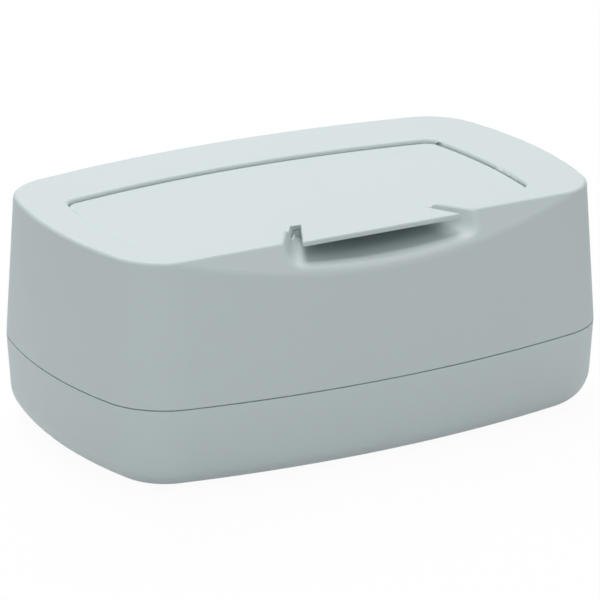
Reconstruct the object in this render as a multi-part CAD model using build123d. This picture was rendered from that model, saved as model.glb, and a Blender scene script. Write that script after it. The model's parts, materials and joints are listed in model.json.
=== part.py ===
from build123d import *
import os
from math import atan, cos, degrees, hypot, radians, sin, sqrt

# Overall body, millimetres. X runs along the box, -Y is the front with the finger tab, Z is up.
half_length = 115.0
half_width = 73.6
front_bow_radius = 445.0
end_bow_radius = 186.0
corner_radius = 28.9
foot_proud = 0.6
tray_height = 34.9
cover_height = 57.9
tray_draft_inset = 2.15
cover_draft_inset = 3.9
tray_bottom_rounding = 14.5
top_edge_rounding = 1.6
tray_wall = 2.5
cover_wall = 2.4
seam_gap = 0.5

# Lap joint between the tray and the cover, with its silicone ring.
tongue_wall = 1.6
tongue_rise = 5.0
tongue_root_depth = 4.0
lap_clearance = 0.35
ring_inset = 0.9
ring_width = 1.3
ring_groove_depth = 0.8

# Feet and the low ribs moulded in the tray floor, placed from the ends and sides of the box.
foot_radius = 7.0
foot_thickness = 1.8
foot_end_inset = 33.0
foot_side_inset = 33.6
foot_edge_rounding = 0.3
floor_rib_height = 1.2
floor_rib_width = 2.0
floor_rib_end_inset = 40.0
floor_rib_pitch = 30.0
floor_rib_count = 4

# Sloping facet along the top of the front wall.
facet_inset = 13.9
facet_slope = 1.24
facet_crease_rounding = 5.0

# Lid panel let into the top, a little to the left of the middle, and its swing axis.
lid_centre_x = -6.0
lid_end_inset = 27.6
lid_back_inset = 36.6
lid_front_inset = 28.6
lid_bow_centre_y = -10.0
lid_back_bow_radius = 421.0
lid_end_bow_radius = 230.0
lid_corner_radius = 6.0
lid_thickness = 1.9
lid_edge_rounding = 0.4
recess_depth = 1.5
recess_gap = 0.45
recess_edge_rounding = 1.5
recess_wall = 2.0
axis_back_inset = 13.5
axis_drop = 1.9

# Trough behind the swing axis, which the back of the lid dips into.
trough_front_reach = 4.3
trough_clearance = 1.0
trough_wall = 1.8

# Ledge around the dispensing opening, the liner under the lid and its seal.
seal_thickness = 1.5
seal_lift = 0.1
seal_width = 3.2
seal_front_margin = 0.8
ledge_thickness = 2.0
ledge_width = 6.5
opening_corner_radius = 6.0
liner_clearance = 0.7
liner_depth = 3.6
liner_skin = 1.3
nib_length = 14.0
nib_height = 1.6

# Hinge pins.
pin_radius = 1.0
pin_run_clearance = 0.05
pin_in_lid = 8.0
pin_in_cover = 6.0
lid_boss_radius = 2.5
lid_boss_end_wall = 1.2
pin_end_clearance = 0.4
cover_boss_radius = 3.4
swing_relief_radius = 3.3
swing_relief_depth = 0.35

# Finger tab on the lid and the scooped pocket that opens through the facet under it.
tab_centre_x = 1.2
tab_root_offset = 2.2
tab_root_half_width = 25.8
tab_front_half_width = 35.75
tab_overhang = 1.5
tab_corner_radius = 0.8
tab_edge_rounding = 0.9
tab_rise_degrees = 3.0
tab_relief = 6.5
notch_centre_x = 0.4
notch_back_half_width = 33.0
notch_front_half_width = 42.9
pocket_back_depth = 8.4
pocket_floor_slope = 0.057
pocket_floor_bow_radius = 330.0
pocket_draft_degrees = 27.0
pocket_corner_radius = 8.0
pocket_wall = 2.0
pocket_wall_clearance = 0.3
lip_rounding = 4.2

# Weighted plate that lies on the wipes, with its steel weights and their caps.
plate_end_inset = 20.0
plate_side_inset = 20.6
plate_corner_radius = 18.0
plate_thickness = 2.2
plate_rim_height = 7.0
plate_rim_wall = 1.8
plate_rest_gap = 0.1
slot_length = 62.0
slot_width = 26.0
slot_collar_wall = 1.8
weight_end_gap = 6.3
weight_side_inset = 22.0
weight_thickness = 3.0
weight_corner_radius = 1.0
weight_clearance = 0.3
pocket_rib_wall = 1.6
cap_thickness = 1.5
cap_corner_radius = 4.0
post_radius = 3.0
screw_shank_radius = 1.1
screw_head_radius = 2.2
screw_head_height = 1.2
screw_length = 5.0

# Heights and places that follow from the sizes above.
seam_z = foot_proud + tray_height
tray_top_z = seam_z - seam_gap / 2
cover_bottom_z = seam_z + seam_gap / 2
top_z = seam_z + cover_height
floor_z = foot_proud + tray_wall
tray_taper = degrees(atan(tray_draft_inset / tray_height))
cover_taper = degrees(atan(cover_draft_inset / cover_height))
foot_x = half_length - foot_end_inset
foot_y = half_width - foot_side_inset
floor_rib_length = 2 * (half_length - floor_rib_end_inset)
facet_y = facet_inset - half_width
lid_top_z = top_z - recess_depth
lid_bottom_z = lid_top_z - lid_thickness
ledge_top_z = lid_bottom_z - seal_thickness - seal_lift
ledge_bottom_z = ledge_top_z - ledge_thickness
lid_half_length = half_length - lid_end_inset
lid_back_y = half_width - lid_back_inset
lid_front_y = lid_front_inset - half_width
axis_y = lid_back_y - axis_back_inset
axis_z = lid_top_z - axis_drop
dip = hypot(axis_back_inset, axis_drop)
trough_bottom_z = axis_z - dip - trough_clearance
trough_front_y = axis_y - trough_front_reach
pocket_back_y = lid_front_y + tab_relief
opening_half_length = lid_half_length - ledge_width
opening_front_y = pocket_back_y + pocket_wall + seal_front_margin + seal_width
opening_back_y = trough_front_y - trough_wall - seal_width
tab_front_y = facet_y - tab_overhang
plate_half_length = half_length - plate_end_inset
plate_half_width = half_width - plate_side_inset
plate_z = floor_z + floor_rib_height + plate_rest_gap
weight_z = plate_z + plate_thickness
weight_inner_x = slot_length / 2 + slot_collar_wall
weight_outer_x = plate_half_length - plate_rim_wall
weight_x = (weight_inner_x + weight_outer_x) / 2
weight_length = weight_outer_x - weight_inner_x - 2 * (weight_end_gap + pocket_rib_wall + weight_clearance)
weight_width = 2 * (plate_half_width - weight_side_inset)
rib_top_z = weight_z + weight_thickness + weight_clearance
cap_top_z = rib_top_z + cap_thickness
post_y = weight_width / 2 + weight_clearance + post_radius
beyond = 2 * half_length
tolerance = 0.01


def circle_crossing(first, first_radius, second, second_radius):
    """The crossing of two circles that lies towards -X and -Y."""
    dx, dy = second[0] - first[0], second[1] - first[1]
    apart = hypot(dx, dy)
    along = (first_radius**2 - second_radius**2 + apart**2) / (2 * apart)
    aside = sqrt(first_radius**2 - along**2)
    mid = (first[0] + along * dx / apart, first[1] + along * dy / apart)
    candidates = [(mid[0] + k * aside * dy / apart, mid[1] - k * aside * dx / apart) for k in (1, -1)]
    return min(candidates, key=lambda p: p[0] + p[1])


def bowed_outline(z, half_x, half_y, bow, end_bow, corner, inset=0.0, centre_y=0.0):
    """A face of eight tangent arcs: two bowed long sides, two bowed ends and four corners."""
    front_centre = (0.0, bow - half_y)
    end_centre = (end_bow - half_x, 0.0)
    corner_centre = circle_crossing(front_centre, bow - corner, end_centre, end_bow - corner)

    def reach(centre, radius):
        dx, dy = corner_centre[0] - centre[0], corner_centre[1] - centre[1]
        size = hypot(dx, dy)
        return (centre[0] + dx / size * radius, centre[1] + dy / size * radius)

    on_front = reach(front_centre, bow - inset)
    on_end = reach(end_centre, end_bow - inset)
    diagonal = [on_front[i] + on_end[i] - 2 * corner_centre[i] for i in (0, 1)]
    size = hypot(*diagonal)
    round_mid = tuple(corner_centre[i] + diagonal[i] / size * (corner - inset) for i in (0, 1))

    def at(point, sx, sy):
        return (sx * point[0], sy * point[1] + centre_y, z)

    front_mid = (0.0, inset - half_y)
    end_mid = (inset - half_x, 0.0)
    edges = []
    for sx, sy in ((1, 1), (-1, 1), (-1, -1), (1, -1)):
        edges.append(ThreePointArc(at(on_end, sx, sy), at(round_mid, sx, sy), at(on_front, sx, sy)))
    for sy in (1, -1):
        edges.append(ThreePointArc(at(on_front, 1, sy), at(front_mid, 1, sy), at(on_front, -1, sy)))
    for sx in (1, -1):
        edges.append(ThreePointArc(at(on_end, sx, 1), at(end_mid, sx, 1), at(on_end, sx, -1)))
    return make_face(edges)


def body_outline(z, inset=0.0):
    """Outline of the whole box at the seam, drawn in by inset."""
    return bowed_outline(z, half_length, half_width, front_bow_radius, end_bow_radius, corner_radius, inset)


def box_between(x, y, z):
    """A box from its low and high limits on each axis."""
    centre = ((x[0] + x[1]) / 2, (y[0] + y[1]) / 2, (z[0] + z[1]) / 2)
    return Pos(*centre) * Box(x[1] - x[0], y[1] - y[0], z[1] - z[0])


def lid_block(inset, z):
    """A block with the outline of the lid panel, drawn in by inset: bowed back and ends, straight front."""
    middle_z = (z[0] + z[1]) / 2
    block = box_between((-beyond, beyond), (lid_front_y + inset, beyond), z)
    places = [(0, lid_back_y - lid_back_bow_radius, lid_back_bow_radius)]
    for side in (-1, 1):
        places.append((side * (lid_end_bow_radius - lid_half_length), lid_bow_centre_y, lid_end_bow_radius))
    for x, y, radius in places:
        block &= Pos(x, y, middle_z) * Rot(0, 0, 90) * Cylinder(radius - inset, z[1] - z[0])
    return Pos(lid_centre_x, 0, 0) * fillet(block.edges().filter_by(Axis.Z), lid_corner_radius - inset)


def rounded_block(half_x, y, corner, z):
    """A block with rounded upright edges, symmetric in X."""
    sketch = RectangleRounded(2 * half_x, y[1] - y[0], corner)
    return extrude(Pos(0, (y[0] + y[1]) / 2, z[0]) * sketch, z[1] - z[0])


def rod(x, y, z, radius):
    """A round rod along X between two limits."""
    return Pos((x[0] + x[1]) / 2, y, z) * Rot(0, 90, 0) * Cylinder(radius, abs(x[1] - x[0]))


def facet_side(solid, depth=0.0):
    """The part of a solid under the sloping facet, or under that facet drawn in by depth."""
    tilt = atan(facet_slope)
    normal = Vector(0, -sin(tilt), cos(tilt))
    origin = Vector(0, facet_y, top_z) - normal * depth
    return split(solid, bisect_by=Plane(origin=origin, x_dir=(1, 0, 0), z_dir=normal), keep=Keep.BOTTOM)


def edges_at(solid, z):
    """Edges that lie flat at height z."""
    boxes = [(e, e.bounding_box()) for e in solid.edges()]
    return [e for e, box in boxes if abs(box.min.Z - z) < tolerance and abs(box.max.Z - z) < tolerance]


def write(name, shape):
    """Write one node's solids to its STEP file."""
    export_step(shape, "parts/" + name + ".step")
    return shape


def shell_block(z_top, depth, taper, inset, rounding):
    """A tapered block that hangs from z_top, with a rounded bottom edge."""
    block = extrude(body_outline(z_top, inset), depth, dir=(0, 0, -1), taper=taper)
    return fillet(edges_at(block, z_top - depth), rounding)


def outline_ring(outer_inset, inner_inset, z):
    """An upright ring that follows the box outline between two insets."""
    height = z[1] - z[0]
    inside = extrude(body_outline(z[0], inner_inset), height)
    return extrude(body_outline(z[0], outer_inset), height) - inside


def foot_places():
    """Name and centre of each foot."""
    for end, sx in (("left", -1), ("right", 1)):
        for side, sy in (("front", -1), ("rear", 1)):
            yield "foot_" + side + "_" + end, sx * foot_x, sy * foot_y


def make_tray():
    """Lower shell with its rounded bottom, floor ribs, foot sockets, tongue and ring groove."""
    tray = shell_block(tray_top_z, tray_top_z - foot_proud, tray_taper, 0.0, tray_bottom_rounding)
    inner_rounding = tray_bottom_rounding - tray_wall
    tray -= shell_block(tray_top_z, tray_top_z - floor_z, tray_taper, tray_wall, inner_rounding)
    tongue_inset = cover_wall + lap_clearance + tongue_rise * cover_draft_inset / cover_height
    tongue_z = (tray_top_z - tongue_root_depth, cover_bottom_z + tongue_rise)
    tray += outline_ring(tongue_inset, tongue_inset + tongue_wall, tongue_z)
    tray += outline_ring(tray_wall / 2, tongue_inset + tongue_wall, (tongue_z[0], tray_top_z))
    tray -= outline_ring(ring_inset, ring_inset + ring_width, (tray_top_z - ring_groove_depth, tray_top_z))
    for i in range(floor_rib_count):
        y = (i - (floor_rib_count - 1) / 2) * floor_rib_pitch
        tray += box_between((-floor_rib_length / 2, floor_rib_length / 2),
                            (y - floor_rib_width / 2, y + floor_rib_width / 2),
                            (floor_z - tray_wall / 2, floor_z + floor_rib_height))
    for _, x, y in foot_places():
        socket = Pos(x, y, foot_thickness / 2) * Cylinder(foot_radius, foot_thickness)
        tray -= socket
    return tray


def make_tray_seal():
    """Silicone ring in the groove of the tray rim; the cover stands on it."""
    z = (tray_top_z - ring_groove_depth, cover_bottom_z)
    return outline_ring(ring_inset, ring_inset + ring_width, z)


def make_foot(x, y):
    """One rubber foot, a low disc with its lower edge eased."""
    foot = Pos(x, y, foot_thickness / 2) * Cylinder(foot_radius, foot_thickness)
    return fillet(edges_at(foot, 0.0), foot_edge_rounding)


def below_plane(solid, origin, normal):
    """The part of a solid on the far side of a plane from its normal."""
    x_dir = Vector(0, 0, 1).cross(normal)
    return split(solid, bisect_by=Plane(origin=origin, x_dir=x_dir, z_dir=normal), keep=Keep.BOTTOM)


def pocket_shape(outset, back_y, z_high):
    """The scooped finger pocket, drawn out by outset, open to the front, from its floor up to z_high."""
    low = top_z - 2 * pocket_back_depth - outset
    shape = box_between((-beyond, beyond), (-half_width, back_y), (low, z_high))
    lean = sin(radians(pocket_draft_degrees))
    upright = cos(radians(pocket_draft_degrees))
    flare = atan((notch_front_half_width - notch_back_half_width) / (lid_front_y - facet_y))
    for side in (-1, 1):
        normal = Vector(side * cos(flare) * upright, sin(flare) * upright, -lean)
        corner = Vector(notch_centre_x + side * notch_back_half_width, lid_front_y, top_z)
        shape = below_plane(shape, corner + normal * outset, normal)
    bowl_axis = Pos(notch_centre_x, pocket_back_y, top_z - pocket_back_depth + pocket_floor_bow_radius)
    tilt = 90 + degrees(atan(pocket_floor_slope))
    shape &= bowl_axis * Rot(tilt, 0, 0) * Cylinder(pocket_floor_bow_radius + outset, 2 * beyond)
    boxes = [(e, e.bounding_box()) for e in shape.edges()]
    low_edges = [e for e, box in boxes if box.size.Y > tolerance and box.max.Z < z_high - tolerance]
    return fillet(low_edges, pocket_corner_radius + outset)


def trough_shape(outset, floor_drop):
    """The trough behind the swing axis that takes the dipping back of the lid."""
    low = trough_bottom_z - floor_drop
    shape = lid_block(-recess_gap - outset, (low, top_z))
    return shape & box_between((-beyond, beyond), (trough_front_y - outset, beyond), (low, top_z))


def in_facet_plane(edge):
    """Whether an edge lies in the plane of the sloping facet."""
    points = [edge @ t for t in (0, 0.5, 1)]
    return all(abs(p.Z - top_z - facet_slope * (p.Y - facet_y)) < tolerance for p in points)


def recess_shape():
    """The lid recess down to its ledge, flared at the top so that its rim is rounded."""
    margin = 2 * recess_gap + 2 * recess_edge_rounding
    slab = box_between((lid_centre_x - lid_half_length - margin, lid_centre_x + lid_half_length + margin),
                       (lid_front_y - margin, lid_back_y + margin), (ledge_top_z, top_z))
    rim = slab - lid_block(-recess_gap, (ledge_top_z, top_z))
    inner = [e for e in edges_at(rim, top_z) if e.bounding_box().max.Y < lid_back_y + 2 * recess_gap]
    inner = [e for e in inner if e.bounding_box().min.Y > lid_front_y - 2 * recess_gap]
    return slab - fillet(inner, recess_edge_rounding)


def make_outer_cover():
    """The outside of the cover: tapered walls, facet, lid recess, finger pocket and rounded rims."""
    tall_z = top_z + 2 * pocket_back_depth
    cover = extrude(body_outline(cover_bottom_z), tall_z - cover_bottom_z, taper=cover_taper)
    cover = facet_side(cover) - pocket_shape(0.0, pocket_back_y, tall_z)
    lip = [e for e in cover.edges() if in_facet_plane(e) and (e @ 0.5).Z < tall_z - tolerance]
    crease = min(lip, key=lambda e: (e @ 0.5).Z)
    lip_reach = notch_front_half_width + lip_rounding
    lip = [e for e in lip if e != crease and abs((e @ 0.5).X - notch_centre_x) < lip_reach]
    cover = fillet(lip, lip_rounding)
    crease = min([e for e in cover.edges() if in_facet_plane(e)], key=lambda e: (e @ 0.5).Z)
    cover = fillet(crease, facet_crease_rounding)
    cover = split(cover, bisect_by=Plane(origin=(0, 0, top_z), z_dir=(0, 0, 1)), keep=Keep.BOTTOM)
    rims = [e for e in edges_at(cover, top_z) if abs(e.center().Y - pocket_back_y) > tolerance]
    return fillet(rims, top_edge_rounding) - recess_shape()


def make_cover():
    """Upper shell: the outside, hollowed, with the ledge, trough, pocket and hinge bosses inside."""
    cover = make_outer_cover()
    cavity_height = top_z - cover_wall - cover_bottom_z
    cavity = extrude(body_outline(cover_bottom_z, cover_wall), cavity_height, taper=cover_taper)
    cavity = facet_side(cavity, cover_wall)
    cavity -= lid_block(-recess_gap - recess_wall, (ledge_bottom_z, top_z))
    cavity -= trough_shape(trough_wall, trough_wall)
    pocket_walls = pocket_shape(pocket_wall, pocket_back_y + pocket_wall, top_z)
    cavity -= pocket_walls
    for side in (-1, 1):
        cavity -= hinge_rod(side, recess_side_x(), recess_side_x() + pin_in_cover, cover_boss_radius)
    cover -= cavity
    cover -= trough_shape(0.0, 0.0)
    cover -= opening_block(0.0, (ledge_bottom_z - ledge_thickness, top_z))
    for side in (-1, 1):
        cover -= hinge_rod(side, lid_side_x(), recess_side_x() + pin_in_cover, pin_radius)
        cover -= hinge_rod(side, lid_side_x() - recess_gap, recess_side_x() + swing_relief_depth,
                           swing_relief_radius)
    back_wall = box_between((-beyond, beyond), (pocket_back_y, pocket_back_y + pocket_wall),
                            (ledge_bottom_z, lid_bottom_z - pocket_wall_clearance))
    return cover + (back_wall & pocket_walls)


def lid_side_x():
    """Half-length of the lid at the swing axis."""
    off_centre = axis_y - lid_bow_centre_y
    return lid_half_length - lid_end_bow_radius + sqrt(lid_end_bow_radius**2 - off_centre**2)


def recess_side_x():
    """Half-length of the lid recess at the swing axis."""
    return lid_side_x() + recess_gap


def hinge_rod(side, inner, outer, radius):
    """A round rod on the swing axis, from inner to outer along one side of the lid."""
    return rod((lid_centre_x + side * inner, lid_centre_x + side * outer), axis_y, axis_z, radius)


def make_pin(side):
    """One steel hinge pin, pressed into the cover and running in the lid."""
    return hinge_rod(side, lid_side_x() - pin_in_lid, recess_side_x() + pin_in_cover, pin_radius)


def make_tab():
    """The finger tab, a flared plate that runs forward from the lid and rises over the pocket."""
    root_y = pocket_back_y + lid_thickness
    flare = (tab_front_half_width - tab_root_half_width) / (pocket_back_y - tab_front_y)
    root_half = tab_root_half_width - flare * lid_thickness
    plan = Polyline((tab_root_offset - root_half, root_y), (tab_root_offset + root_half, root_y),
                    (tab_front_half_width, tab_front_y), (-tab_front_half_width, tab_front_y), close=True)
    tab = extrude(Pos(tab_centre_x, 0, lid_bottom_z) * make_face(plan), lid_thickness)
    tab = fillet([e for e in tab.edges().filter_by(Axis.Z) if e.center().Y < facet_y], tab_corner_radius)
    rim = [e for e in edges_at(tab, lid_top_z) if e.center().Y < pocket_back_y]
    tab = fillet(rim, tab_edge_rounding)
    crease = Axis((0, (root_y + pocket_back_y) / 2, lid_top_z), (1, 0, 0))
    tab = tab.rotate(crease, -tab_rise_degrees)
    return tab & box_between((-beyond, beyond), (-beyond, beyond), (lid_bottom_z, beyond))


def make_lid():
    """The lid panel, cut back beside its finger tab, with the two hinge bosses under it."""
    panel = lid_block(0.0, (lid_bottom_z, lid_top_z)) - pocket_shape(0.0, pocket_back_y, top_z)
    lid = fillet(edges_at(panel, lid_top_z), lid_edge_rounding) + make_tab()
    under_top = box_between((-beyond, beyond), (-beyond, beyond), (0, lid_top_z - lid_edge_rounding))
    inner_x = lid_side_x() - pin_in_lid
    for side in (-1, 1):
        lid += hinge_rod(side, inner_x - lid_boss_end_wall, lid_side_x(), lid_boss_radius) & under_top
    for side in (-1, 1):
        lid -= hinge_rod(side, inner_x - pin_end_clearance, lid_side_x() + recess_gap,
                         pin_radius + pin_run_clearance)
    return lid


def opening_block(inset, z):
    """A block with the outline of the dispensing opening, drawn in by inset."""
    outline = bowed_outline(z[0], opening_half_length, lid_back_y - lid_bow_centre_y, lid_back_bow_radius,
                            lid_end_bow_radius - ledge_width, lid_corner_radius, inset, lid_bow_centre_y)
    block = Pos(lid_centre_x, 0, 0) * extrude(outline, z[1] - z[0])
    block &= box_between((-beyond, beyond), (opening_front_y + inset, opening_back_y - inset), z)
    return fillet(block.edges().filter_by(Axis.Z), opening_corner_radius - inset)


def make_liner():
    """The stiffening liner under the lid, a plug that drops into the opening."""
    low = lid_bottom_z - liner_depth
    liner = opening_block(liner_clearance, (low, lid_bottom_z))
    liner -= opening_block(liner_clearance + liner_skin, (low, lid_bottom_z - liner_skin))
    nib_y = (opening_front_y + seal_lift, opening_front_y + liner_clearance + liner_skin)
    return liner + box_between((-nib_length / 2, nib_length / 2), nib_y, (low, low + nib_height))


def make_lid_seal():
    """Silicone ring round the liner, which closes on the ledge."""
    z = (lid_bottom_z - seal_thickness, lid_bottom_z)
    return opening_block(liner_clearance - seal_width, z) - opening_block(liner_clearance, z)


def upright_slot(length, width, z):
    """An upright block with round ends, long in X."""
    return extrude(Pos(0, 0, z[0]) * SlotOverall(length, width), z[1] - z[0])


def make_plate():
    """The plate that presses on the wipes, with its rim, dispensing slot and weight pockets."""
    z = (plate_z, plate_z + plate_rim_height)
    plate = rounded_block(plate_half_length, (-plate_half_width, plate_half_width), plate_corner_radius, z)
    inside_y = plate_half_width - plate_rim_wall
    plate -= rounded_block(plate_half_length - plate_rim_wall, (-inside_y, inside_y),
                           plate_corner_radius - plate_rim_wall, (weight_z, z[1]))
    plate += upright_slot(slot_length + 2 * slot_collar_wall, slot_width + 2 * slot_collar_wall, z)
    plate -= upright_slot(slot_length, slot_width, z)
    half_x = weight_length / 2 + weight_clearance
    half_y = weight_width / 2 + weight_clearance
    for x in (-weight_x, weight_x):
        frame = box_between((x - half_x - pocket_rib_wall, x + half_x + pocket_rib_wall),
                            (-half_y - pocket_rib_wall, half_y + pocket_rib_wall), (weight_z, rib_top_z))
        for side in (-1, 1):
            post = Cylinder(post_radius, rib_top_z - weight_z)
            frame += Pos(x, side * post_y, (weight_z + rib_top_z) / 2) * post
        frame -= box_between((x - half_x, x + half_x), (-half_y, half_y), (weight_z, rib_top_z))
        plate += frame
        for side in (-1, 1):
            plate -= screw_shank(x, side * post_y)
    return plate


def screw_shank(x, y):
    """The threaded part of a cap screw, as a plain round rod."""
    return Pos(x, y, cap_top_z - screw_length / 2) * Cylinder(screw_shank_radius, screw_length)


def make_weight(x):
    """One steel weight, with eased corners."""
    block = Pos(x, 0, weight_z + weight_thickness / 2) * Box(weight_length, weight_width, weight_thickness)
    return fillet(block.edges().filter_by(Axis.Z), weight_corner_radius)


def make_cap(x):
    """The cap over one weight."""
    half_x = weight_length / 2 + weight_clearance + pocket_rib_wall
    half_y = post_y + post_radius
    sketch = RectangleRounded(2 * half_x, 2 * half_y, cap_corner_radius)
    cap = extrude(Pos(x, 0, rib_top_z) * sketch, cap_thickness)
    for side in (-1, 1):
        cap -= screw_shank(x, side * post_y)
    return cap


def make_screws():
    """The four cap screws."""
    screws = []
    for x in (-weight_x, weight_x):
        for y in (-post_y, post_y):
            head = Cylinder(screw_head_radius, screw_head_height)
            screws.append(screw_shank(x, y) + Pos(x, y, cap_top_z + screw_head_height / 2) * head)
    return Compound(screws)


def build():
    """Every node by name."""
    nodes = {"base_tray": make_tray(), "tray_seal": make_tray_seal()}
    for name, x, y in foot_places():
        nodes[name] = make_foot(x, y)
    nodes["upper_cover"] = make_cover()
    for end, side in (("left", -1), ("right", 1)):
        nodes["hinge_pin_" + end] = make_pin(side)
    nodes["lid"] = make_lid()
    nodes["lid_liner"] = make_liner()
    nodes["lid_seal"] = make_lid_seal()
    nodes["pressure_plate"] = make_plate()
    for end, side in (("left", -1), ("right", 1)):
        nodes["weight_" + end] = make_weight(side * weight_x)
        nodes["weight_cap_" + end] = make_cap(side * weight_x)
    nodes["cap_screws"] = make_screws()
    return nodes


os.makedirs("parts", exist_ok=True)
for node_name, node_shape in build().items():
    write(node_name, node_shape)
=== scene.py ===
import json
from math import cos, pi, radians, sin

import bmesh
import bpy
from mathutils import Matrix, Vector

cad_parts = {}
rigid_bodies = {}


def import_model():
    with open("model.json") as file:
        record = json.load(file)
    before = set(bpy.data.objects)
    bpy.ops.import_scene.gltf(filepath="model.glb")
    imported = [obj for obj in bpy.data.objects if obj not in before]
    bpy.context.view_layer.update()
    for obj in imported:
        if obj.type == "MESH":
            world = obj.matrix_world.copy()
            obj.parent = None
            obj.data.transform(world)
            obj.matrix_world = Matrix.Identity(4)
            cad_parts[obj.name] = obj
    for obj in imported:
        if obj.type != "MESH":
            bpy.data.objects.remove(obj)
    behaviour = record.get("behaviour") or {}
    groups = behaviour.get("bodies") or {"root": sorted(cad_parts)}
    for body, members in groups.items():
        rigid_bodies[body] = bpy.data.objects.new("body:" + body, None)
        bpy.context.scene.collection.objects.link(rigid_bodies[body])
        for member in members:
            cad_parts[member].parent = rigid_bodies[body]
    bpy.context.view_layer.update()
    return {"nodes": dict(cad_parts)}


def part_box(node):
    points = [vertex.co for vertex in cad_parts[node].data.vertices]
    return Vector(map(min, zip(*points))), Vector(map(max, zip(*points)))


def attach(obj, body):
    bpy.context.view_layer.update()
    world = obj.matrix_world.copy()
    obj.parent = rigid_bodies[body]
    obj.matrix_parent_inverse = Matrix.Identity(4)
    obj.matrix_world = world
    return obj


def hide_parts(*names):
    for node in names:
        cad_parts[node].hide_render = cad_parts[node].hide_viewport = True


# The scene starts empty, and the frame then brings in the solids, each one in its place.

for leftover in list(bpy.data.objects):
    bpy.data.objects.remove(leftover)
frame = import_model()
nodes = frame["nodes"]


# Base tray: the lower shell, injection moulded in pale grey-green plastic. The mould's fine matt
# texture shows on it, and hands have polished it a little where they hold it. It carries the rest.

shell_colour = (0.606, 0.668, 0.660, 1.0)
plastic_specular = 0.4
grain_dulling = 0.12


def socket_maker(group):
    """A function that adds one named socket to a node group."""
    def add(name, kind, side="INPUT", value=None):
        made = group.interface.new_socket(name=name, in_out=side, socket_type="NodeSocket" + kind)
        if value is not None:
            made.default_value = value
    return add


def node_maker(tree):
    """Two functions: one adds a node and sets inputs by name, or by number as in i1, and one joins."""
    def add(kind, operation=None, **values):
        made = tree.nodes.new("ShaderNode" + kind)
        if operation:
            made.operation = operation
        for name, value in values.items():
            key = int(name[1:]) if name[0] == "i" and name[1:].isdigit() else name.replace("_", " ")
            made.inputs[key].default_value = value
        return made

    def join(source, target):
        tree.links.new(source, target)
    return add, join


def moulded_texture_group():
    """Plastic off a textured mould: a slow drift of tone, a fine grain, and polish where it is held."""
    group = bpy.data.node_groups.new("moulded texture", "ShaderNodeTree")
    socket = socket_maker(group)
    socket("Colour", "Color")
    socket("Drift", "Float", value=0.02)
    socket("Roughness", "Float", value=0.5)
    socket("Grain per metre", "Float", value=2400.0)
    socket("Polish", "Float", value=0.06)
    socket("Colour", "Color", "OUTPUT")
    socket("Roughness", "Float", "OUTPUT")
    socket("Height", "Float", "OUTPUT")
    add, join = node_maker(group)
    given = group.nodes.new("NodeGroupInput")
    result = group.nodes.new("NodeGroupOutput")
    place = add("TexCoord")

    slow = add("TexNoise", Scale=9.0, Detail=2.0)
    join(place.outputs["Object"], slow.inputs["Vector"])
    swing = add("Math", "MULTIPLY_ADD", i1=2.0, i2=-1.0)
    join(slow.outputs["Fac"], swing.inputs[0])
    drift = add("Math", "MULTIPLY_ADD", i2=1.0)
    join(swing.outputs[0], drift.inputs[0])
    join(given.outputs["Drift"], drift.inputs[1])
    tone = add("VectorMath", "SCALE")
    join(given.outputs["Colour"], tone.inputs[0])
    join(drift.outputs[0], tone.inputs["Scale"])
    join(tone.outputs[0], result.inputs["Colour"])

    grain = add("TexNoise", Detail=3.0, Roughness=0.6)
    join(place.outputs["Object"], grain.inputs["Vector"])
    join(given.outputs["Grain per metre"], grain.inputs["Scale"])
    join(grain.outputs["Fac"], result.inputs["Height"])
    held = add("TexNoise", Scale=28.0, Detail=4.0, Roughness=0.55)
    join(place.outputs["Object"], held.inputs["Vector"])
    polish = add("Math", "MULTIPLY")
    join(held.outputs["Fac"], polish.inputs[0])
    join(given.outputs["Polish"], polish.inputs[1])
    matt = add("Math", "SUBTRACT")
    join(given.outputs["Roughness"], matt.inputs[0])
    join(polish.outputs[0], matt.inputs[1])
    sheen = add("Math", "MULTIPLY_ADD", i1=grain_dulling)
    join(grain.outputs["Fac"], sheen.inputs[0])
    join(matt.outputs[0], sheen.inputs[2])
    join(sheen.outputs[0], result.inputs["Roughness"])
    return group


moulded_texture = moulded_texture_group()


def moulded_plastic(name, colour, roughness, drift, grain_per_metre, grain_depth, polish):
    """A plastic material with the moulded texture in it."""
    material = bpy.data.materials.new(name)
    material.use_nodes = True
    add, join = node_maker(material.node_tree)
    plastic = material.node_tree.nodes["Principled BSDF"]
    plastic.inputs["Specular IOR Level"].default_value = plastic_specular
    texture = add("Group")
    texture.node_tree = moulded_texture
    texture.inputs["Colour"].default_value = colour
    texture.inputs["Drift"].default_value = drift
    texture.inputs["Roughness"].default_value = roughness
    texture.inputs["Grain per metre"].default_value = grain_per_metre
    texture.inputs["Polish"].default_value = polish
    relief = add("Bump", Strength=1.0, Distance=grain_depth)
    join(texture.outputs["Colour"], plastic.inputs["Base Color"])
    join(texture.outputs["Roughness"], plastic.inputs["Roughness"])
    join(texture.outputs["Height"], relief.inputs["Height"])
    join(relief.outputs["Normal"], plastic.inputs["Normal"])
    return material


shell_plastic = moulded_plastic("pale green shell plastic", shell_colour, roughness=0.55, drift=0.012,
                                grain_per_metre=2400.0, grain_depth=0.00003, polish=0.08)


def finish_node(name, material):
    """Gives a CAD node its material."""
    nodes[name].data.materials.clear()
    nodes[name].data.materials.append(material)


finish_node("base_tray", shell_plastic)


# Tray seal: a silicone ring pressed into the groove of the tray's rim, which keeps the wipes moist.
# It is soft and slightly milky, with the smooth skin that silicone has off a polished mould.

silicone_colour = (0.56, 0.62, 0.61, 1.0)
silicone = moulded_plastic("milky silicone", silicone_colour, roughness=0.42, drift=0.01,
                           grain_per_metre=900.0, grain_depth=0.00001, polish=0.03)
finish_node("tray_seal", silicone)


# Feet: four rubber discs pushed into sockets under the tray, so that it stays put when a wipe is
# pulled with one hand. Each has a rounded rim and two ring ribs that grip the table.

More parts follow.
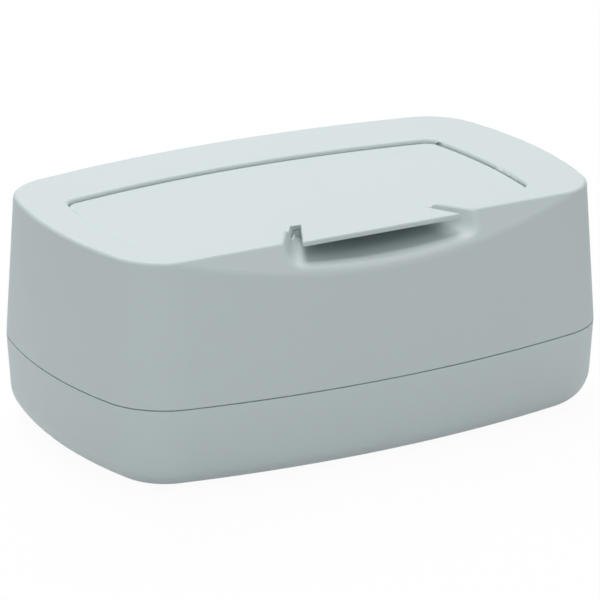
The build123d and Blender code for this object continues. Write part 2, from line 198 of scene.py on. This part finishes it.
rubber_colour = (0.26, 0.31, 0.31, 1.0)
foot_rubber = moulded_plastic("grey foot rubber", rubber_colour, roughness=0.72, drift=0.02,
                              grain_per_metre=1500.0, grain_depth=0.00004, polish=0.02)
foot_rim = 0.0004
foot_rim_bulge = 0.3
foot_groove_depth = 0.0004
foot_grooves = ((0.0026, 0.0034), (0.0046, 0.0054))
foot_steps = 48
eased_angle = radians(35)


def turned_mesh(name, profile, centre, axis, steps):
    """A closed mesh turned round an axis from a profile of distance and height pairs."""
    axis = Vector(axis)
    turn = Vector((0, 0, 1)).rotation_difference(axis).to_matrix().to_4x4()
    work = bmesh.new()
    line = [work.verts.new((distance, 0.0, height)) for distance, height in profile]
    edges = [work.edges.new(pair) for pair in zip(line, line[1:])]
    bmesh.ops.spin(work, geom=line + edges, cent=(0, 0, 0), axis=(0, 0, 1), angle=2 * pi,
                   steps=steps, use_merge=True)
    bmesh.ops.remove_doubles(work, verts=work.verts, dist=0.000001)
    bmesh.ops.recalc_face_normals(work, faces=work.faces)
    bmesh.ops.transform(work, matrix=Matrix.Translation(Vector(centre)) @ turn, verts=work.verts)
    for face in work.faces:
        face.smooth = True
    mesh = bpy.data.meshes.new(name)
    work.to_mesh(mesh)
    work.free()
    return mesh


def add_piece(name, mesh, material, body, bevel_width=0.0, bevel_steps=1):
    """A new piece at the origin, with its material, on its body, its edges eased where asked."""
    mesh.materials.append(material)
    piece = bpy.data.objects.new(name, mesh)
    bpy.context.scene.collection.objects.link(piece)
    if bevel_width:
        ease = piece.modifiers.new("eased edges", "BEVEL")
        ease.width = bevel_width
        ease.segments = bevel_steps
        ease.limit_method = "ANGLE"
        ease.angle_limit = eased_angle
    crisp = piece.modifiers.new("flat faces stay flat", "WEIGHTED_NORMAL")
    crisp.keep_sharp = True
    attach(piece, body)
    return piece


for end in ("left", "right"):
    for side in ("front", "rear"):
        node_name = "foot_" + side + "_" + end
        low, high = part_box(node_name)
        radius = (high[0] - low[0]) / 2
        middle = ((low[0] + high[0]) / 2, (low[1] + high[1]) / 2, 0.0)
        profile = [(0.0, low[2])]
        for inner, outer in foot_grooves:
            profile += [(inner, low[2]), (inner, low[2] + foot_groove_depth)]
            profile += [(outer, low[2] + foot_groove_depth), (outer, low[2])]
        bulge = foot_rim * foot_rim_bulge
        profile += [(radius - foot_rim, low[2]), (radius - bulge, low[2] + bulge)]
        profile += [(radius, low[2] + foot_rim), (radius, high[2]), (0.0, high[2])]
        mesh = turned_mesh(node_name, profile, middle, (0, 0, 1), foot_steps)
        foot = add_piece("ribbed_" + node_name, mesh, foot_rubber, "tray")
        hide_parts(node_name)


# Pressure plate: a loose moulding that lies on the wipes and lets one through its slot at a time.
# It is a plain satin plastic, smoother than the shells, and the caps and liner are the same.

inner_colour = (0.70, 0.75, 0.74, 1.0)
inner_plastic = moulded_plastic("satin inner plastic", inner_colour, roughness=0.38, drift=0.01,
                                grain_per_metre=1200.0, grain_depth=0.00001, polish=0.06)
finish_node("pressure_plate", inner_plastic)


# Weights: two steel slabs, ground on their faces, with the grinder's lines along them, and their
# edges eased. They lie in the plate's pockets and make it press on the wipes.

weight_edge = 0.0004
weight_edge_steps = 3
weight_corner = 0.001
weight_corner_steps = 5
steel_dark = (0.42, 0.42, 0.41, 1.0)
steel_bright = (0.56, 0.56, 0.55, 1.0)
line_dulling = 0.18


def ground_steel(name, roughness, line_stretch, line_depth):
    """Steel with the fine lines of grinding, and slightly duller patches."""
    material = bpy.data.materials.new(name)
    material.use_nodes = True
    add, join = node_maker(material.node_tree)
    metal = material.node_tree.nodes["Principled BSDF"]
    metal.inputs["Metallic"].default_value = 1.0
    place = add("TexCoord")
    stretch = add("Mapping", Scale=line_stretch)
    join(place.outputs["Object"], stretch.inputs["Vector"])
    lines = add("TexNoise", Scale=1.0, Detail=3.0, Roughness=0.7)
    join(stretch.outputs["Vector"], lines.inputs["Vector"])
    patches = add("TexNoise", Scale=60.0, Detail=4.0)
    join(place.outputs["Object"], patches.inputs["Vector"])
    tone = add("ValToRGB")
    tone.color_ramp.elements[0].position = 0.3
    tone.color_ramp.elements[0].color = steel_dark
    tone.color_ramp.elements[1].position = 0.7
    tone.color_ramp.elements[1].color = steel_bright
    join(patches.outputs["Fac"], tone.inputs["Fac"])
    join(tone.outputs["Color"], metal.inputs["Base Color"])
    dull = add("Math", "MULTIPLY_ADD", i1=line_dulling, i2=roughness)
    join(lines.outputs["Fac"], dull.inputs[0])
    join(dull.outputs[0], metal.inputs["Roughness"])
    relief = add("Bump", Strength=1.0, Distance=line_depth)
    join(lines.outputs["Fac"], relief.inputs["Height"])
    join(relief.outputs["Normal"], metal.inputs["Normal"])
    return material


slab_steel = ground_steel("ground slab steel", roughness=0.28, line_stretch=(40.0, 3000.0, 3000.0),
                          line_depth=0.00001)


def slab_block(low, high):
    """A plain block between two corners, still open to shaping."""
    work = bmesh.new()
    bmesh.ops.create_cube(work, size=1.0)
    size = [high[i] - low[i] for i in range(3)]
    middle = [(high[i] + low[i]) / 2 for i in range(3)]
    bmesh.ops.scale(work, vec=size, verts=work.verts)
    bmesh.ops.translate(work, vec=middle, verts=work.verts)
    return work


for end in ("left", "right"):
    node_name = "weight_" + end
    low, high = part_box(node_name)
    work = slab_block(low, high)
    upright = [e for e in work.edges if abs(e.verts[0].co.z - e.verts[1].co.z) > weight_edge]
    bmesh.ops.bevel(work, geom=upright, offset=weight_corner, segments=weight_corner_steps, profile=0.5,
                    material=-1, affect="EDGES", clamp_overlap=True)
    mesh = bpy.data.meshes.new(node_name)
    work.to_mesh(mesh)
    work.free()
    slab = add_piece("ground_" + node_name, mesh, slab_steel, "plate",
                     bevel_width=weight_edge, bevel_steps=weight_edge_steps)
    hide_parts(node_name)
    finish_node("weight_cap_" + end, inner_plastic)


# Cap screws: four small pan-head screws with a six-sided socket, zinc plated, driven through each
# weight's cap into the posts of the plate.

screw_steel = ground_steel("plated screw steel", roughness=0.22, line_stretch=(300.0, 300.0, 300.0),
                           line_depth=0.000004)
head_radius = 0.0022
head_height = 0.0012
head_dome = ((1.0, 0.0), (1.0, 0.45), (0.93, 0.72), (0.78, 0.92), (0.60, 1.0))
shank_radius = 0.0011
shank_steps = 24
tip_radius = 0.45 * shank_radius
tip_length = 0.6 * shank_radius
socket_half = 0.00085
socket_depth = 0.0007
socket_ease = 0.0001
socket_crease = radians(38)


def add_socket_screw(work, x, y, tip_z, head_z):
    """One screw: a ring grown down for the shank and up and in for the domed head and its socket."""
    made = bmesh.ops.create_circle(work, cap_ends=False, radius=shank_radius, segments=shank_steps,
                                   matrix=Matrix.Translation((x, y, tip_z + tip_length)))
    shank = list({e for v in made["verts"] for e in v.link_edges})
    centre = Vector((x, y, 0.0))

    def grow(last_ring, radius, z, six_sided=False):
        """The next ring of the screw's skin, at a radius and a height."""
        out = bmesh.ops.extrude_edge_only(work, edges=last_ring)["geom"]
        ring = [g for g in out if isinstance(g, bmesh.types.BMVert)]
        for vert in ring:
            away = (vert.co - centre).to_2d().normalized()
            reach = radius
            if six_sided:
                turn = (away.angle_signed(Vector((1, 0))) + 2 * pi) % (pi / 3) - pi / 6
                reach = radius / cos(turn)
            vert.co = (x + away.x * reach, y + away.y * reach, z)
        return [g for g in out if isinstance(g, bmesh.types.BMEdge) and all(v in ring for v in g.verts)]

    tip = grow(shank, tip_radius, tip_z)
    bmesh.ops.edgeloop_fill(work, edges=tip)
    neck_z = head_z - head_height
    ring = grow(shank, shank_radius, neck_z)
    for across, up in head_dome:
        ring = grow(ring, head_radius * across, neck_z + head_height * up)
    ring = grow(ring, socket_half + socket_ease, head_z, six_sided=True)
    ring = grow(ring, socket_half, head_z - socket_ease, six_sided=True)
    ring = grow(ring, socket_half, head_z - socket_depth, six_sided=True)
    bmesh.ops.edgeloop_fill(work, edges=ring)


low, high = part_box("cap_screws")
screw_work = bmesh.new()
for x in (low[0] + head_radius, high[0] - head_radius):
    for y in (low[1] + head_radius, high[1] - head_radius):
        add_socket_screw(screw_work, x, y, low[2], high[2])
bmesh.ops.recalc_face_normals(screw_work, faces=screw_work.faces)
for face in screw_work.faces:
    face.smooth = True
mesh = bpy.data.meshes.new("socket_screws")
screw_work.to_mesh(mesh)
screw_work.free()
screws = add_piece("socket_cap_screws", mesh, screw_steel, "plate")
screws.modifiers["flat faces stay flat"].keep_sharp = False
split_edges = screws.modifiers.new("crisp socket", "EDGE_SPLIT")
split_edges.split_angle = socket_crease
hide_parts("cap_screws")


# Upper cover: the upper shell, moulded in the same plastic as the tray, with the lid's recess, the
# sloping facet and the scooped pocket for a fingertip. It lifts off the tray for refilling.

finish_node("upper_cover", shell_plastic)


# Hinge pins: two short turned steel pins, pressed into the cover, with their ends chamfered so
# that they start straight. The lid swings on them.

pin_steel = ground_steel("turned pin steel", roughness=0.2, line_stretch=(2500.0, 60.0, 60.0),
                         line_depth=0.000004)
pin_chamfer = 0.0002
pin_steps = 40
for end in ("left", "right"):
    node_name = "hinge_pin_" + end
    low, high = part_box(node_name)
    radius = (high[2] - low[2]) / 2
    length = high[0] - low[0]
    profile = [(0.0, 0.0), (radius - pin_chamfer, 0.0), (radius, pin_chamfer)]
    profile += [(radius, length - pin_chamfer), (radius - pin_chamfer, length), (0.0, length)]
    start = (low[0], (low[1] + high[1]) / 2, (low[2] + high[2]) / 2)
    mesh = turned_mesh(node_name, profile, start, (1, 0, 0), pin_steps)
    pin = add_piece("turned_" + node_name, mesh, pin_steel, "cover")
    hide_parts(node_name)


# Lid: a thin panel let into the top, in the shell plastic, with a flared tab to lift it by. Its
# liner is welded under it and plugs the opening, with a silicone ring round the plug.

finish_node("lid", shell_plastic)
finish_node("lid_liner", inner_plastic)
finish_node("lid_seal", silicone)


# Floor: a wide sheet of matt white paper under the box. It takes a soft shadow and throws light back
# up on the tray. The camera sees it as nearly plain white, with a small share of the shading left.

floor_reach = 6.0
paper_colour = (0.94, 0.95, 0.955, 1.0)
paper_roughness = 0.9
paper_plain_share = 0.95
floor_mesh = bpy.data.meshes.new("floor")
sheet = bmesh.new()
bmesh.ops.create_grid(sheet, x_segments=2, y_segments=2, size=floor_reach)
sheet.to_mesh(floor_mesh)
sheet.free()
floor = bpy.data.objects.new("floor", floor_mesh)
bpy.context.scene.collection.objects.link(floor)


def seen_share(add, join, most):
    """How far camera, glossy and transmission rays see the plain white, as a share up to most."""
    rays = add("LightPath")
    first = add("Math", "MAXIMUM")
    join(rays.outputs["Is Camera Ray"], first.inputs[0])
    join(rays.outputs["Is Glossy Ray"], first.inputs[1])
    second = add("Math", "MAXIMUM")
    join(first.outputs[0], second.inputs[0])
    join(rays.outputs["Is Transmission Ray"], second.inputs[1])
    share = add("Math", "MULTIPLY", i1=most)
    join(second.outputs[0], share.inputs[0])
    return share.outputs[0]


floor_paper = bpy.data.materials.new("matt white paper")
floor_paper.use_nodes = True
add, join = node_maker(floor_paper.node_tree)
matt = floor_paper.node_tree.nodes["Principled BSDF"]
matt.inputs["Base Color"].default_value = paper_colour
matt.inputs["Roughness"].default_value = paper_roughness
matt.inputs["Specular IOR Level"].default_value = 0.0
white = add("Emission", Strength=1.0)
mix = add("MixShader")
join(seen_share(add, join, paper_plain_share), mix.inputs["Fac"])
join(matt.outputs["BSDF"], mix.inputs[1])
join(white.outputs["Emission"], mix.inputs[2])
join(mix.outputs["Shader"], floor_paper.node_tree.nodes["Material Output"].inputs["Surface"])
floor.data.materials.append(floor_paper)


# Surround: an even, slightly cool studio light from all round, which lights the walls of the box.
# The camera and the reflections in metal see it as plain white.

surround_colour = (0.935, 1.0, 1.07, 1.0)
surround_strength = 0.292
plain_white = (1.0, 1.0, 1.0, 1.0)
world = bpy.data.worlds.new("white surround")
bpy.context.scene.world = world
world.use_nodes = True
add, join = node_maker(world.node_tree)
around = world.node_tree.nodes["Background"]
around.inputs["Color"].default_value = surround_colour
around.inputs["Strength"].default_value = surround_strength
seen = add("Background", Strength=1.0)
seen.inputs["Color"].default_value = plain_white
mix = add("MixShader")
join(seen_share(add, join, 1.0), mix.inputs["Fac"])
join(around.outputs["Background"], mix.inputs[1])
join(seen.outputs["Background"], mix.inputs[2])
join(mix.outputs["Shader"], world.node_tree.nodes["World Output"].inputs["Surface"])


# Lamps: three square soft boxes that point at the foot of the box. The one behind and the one
# overhead make the top pale, and the weak one in front lifts the facet and the lip of the pocket.


def direction(azimuth, elevation):
    """The way from the object to a lamp or the camera, in degrees; azimuth 0 is the front."""
    level = cos(radians(elevation))
    return Vector((sin(radians(azimuth)) * level, -cos(radians(azimuth)) * level, sin(radians(elevation))))


def aimed_lamp(name, azimuth, elevation, distance, size, watts):
    """A square soft lamp that points at the origin from a direction."""
    away = direction(azimuth, elevation)
    lamp = bpy.data.lights.new(name, "AREA")
    lamp.shape = "SQUARE"
    lamp.size = size
    lamp.energy = watts
    holder = bpy.data.objects.new(name, lamp)
    holder.location = away * distance
    holder.rotation_euler = away.to_track_quat("Z", "Y").to_euler()
    bpy.context.scene.collection.objects.link(holder)


aimed_lamp("soft lamp behind", azimuth=160.0, elevation=52.0, distance=2.2, size=1.1, watts=17.8)
aimed_lamp("small lamp overhead", azimuth=-150.0, elevation=84.0, distance=2.2, size=0.9, watts=16.2)
aimed_lamp("weak lamp in front", azimuth=-30.0, elevation=44.0, distance=2.0, size=1.0, watts=6.1)

bpy.context.scene.view_settings.view_transform = "Standard"


# Camera: low at the front left with a long lens, as the photograph was taken, and aimed at the
# middle of the box.

view_azimuth = -29.87
view_elevation = 19.04
view_distance = 1.832
view_target = Vector((-0.00063, 0.0, 0.04551))
view_lens = 273.8
view_near = 0.05
view_far = 60.0
towards_eye = direction(view_azimuth, view_elevation)
camera = bpy.data.objects.new("camera", bpy.data.cameras.new("camera"))
camera.data.lens = view_lens
camera.data.clip_start = view_near
camera.data.clip_end = view_far
camera.location = view_target + towards_eye * view_distance
camera.rotation_euler = towards_eye.to_track_quat("Z", "Y").to_euler()
bpy.context.scene.collection.objects.link(camera)
bpy.context.scene.camera = camera

bpy.context.view_layer.update()
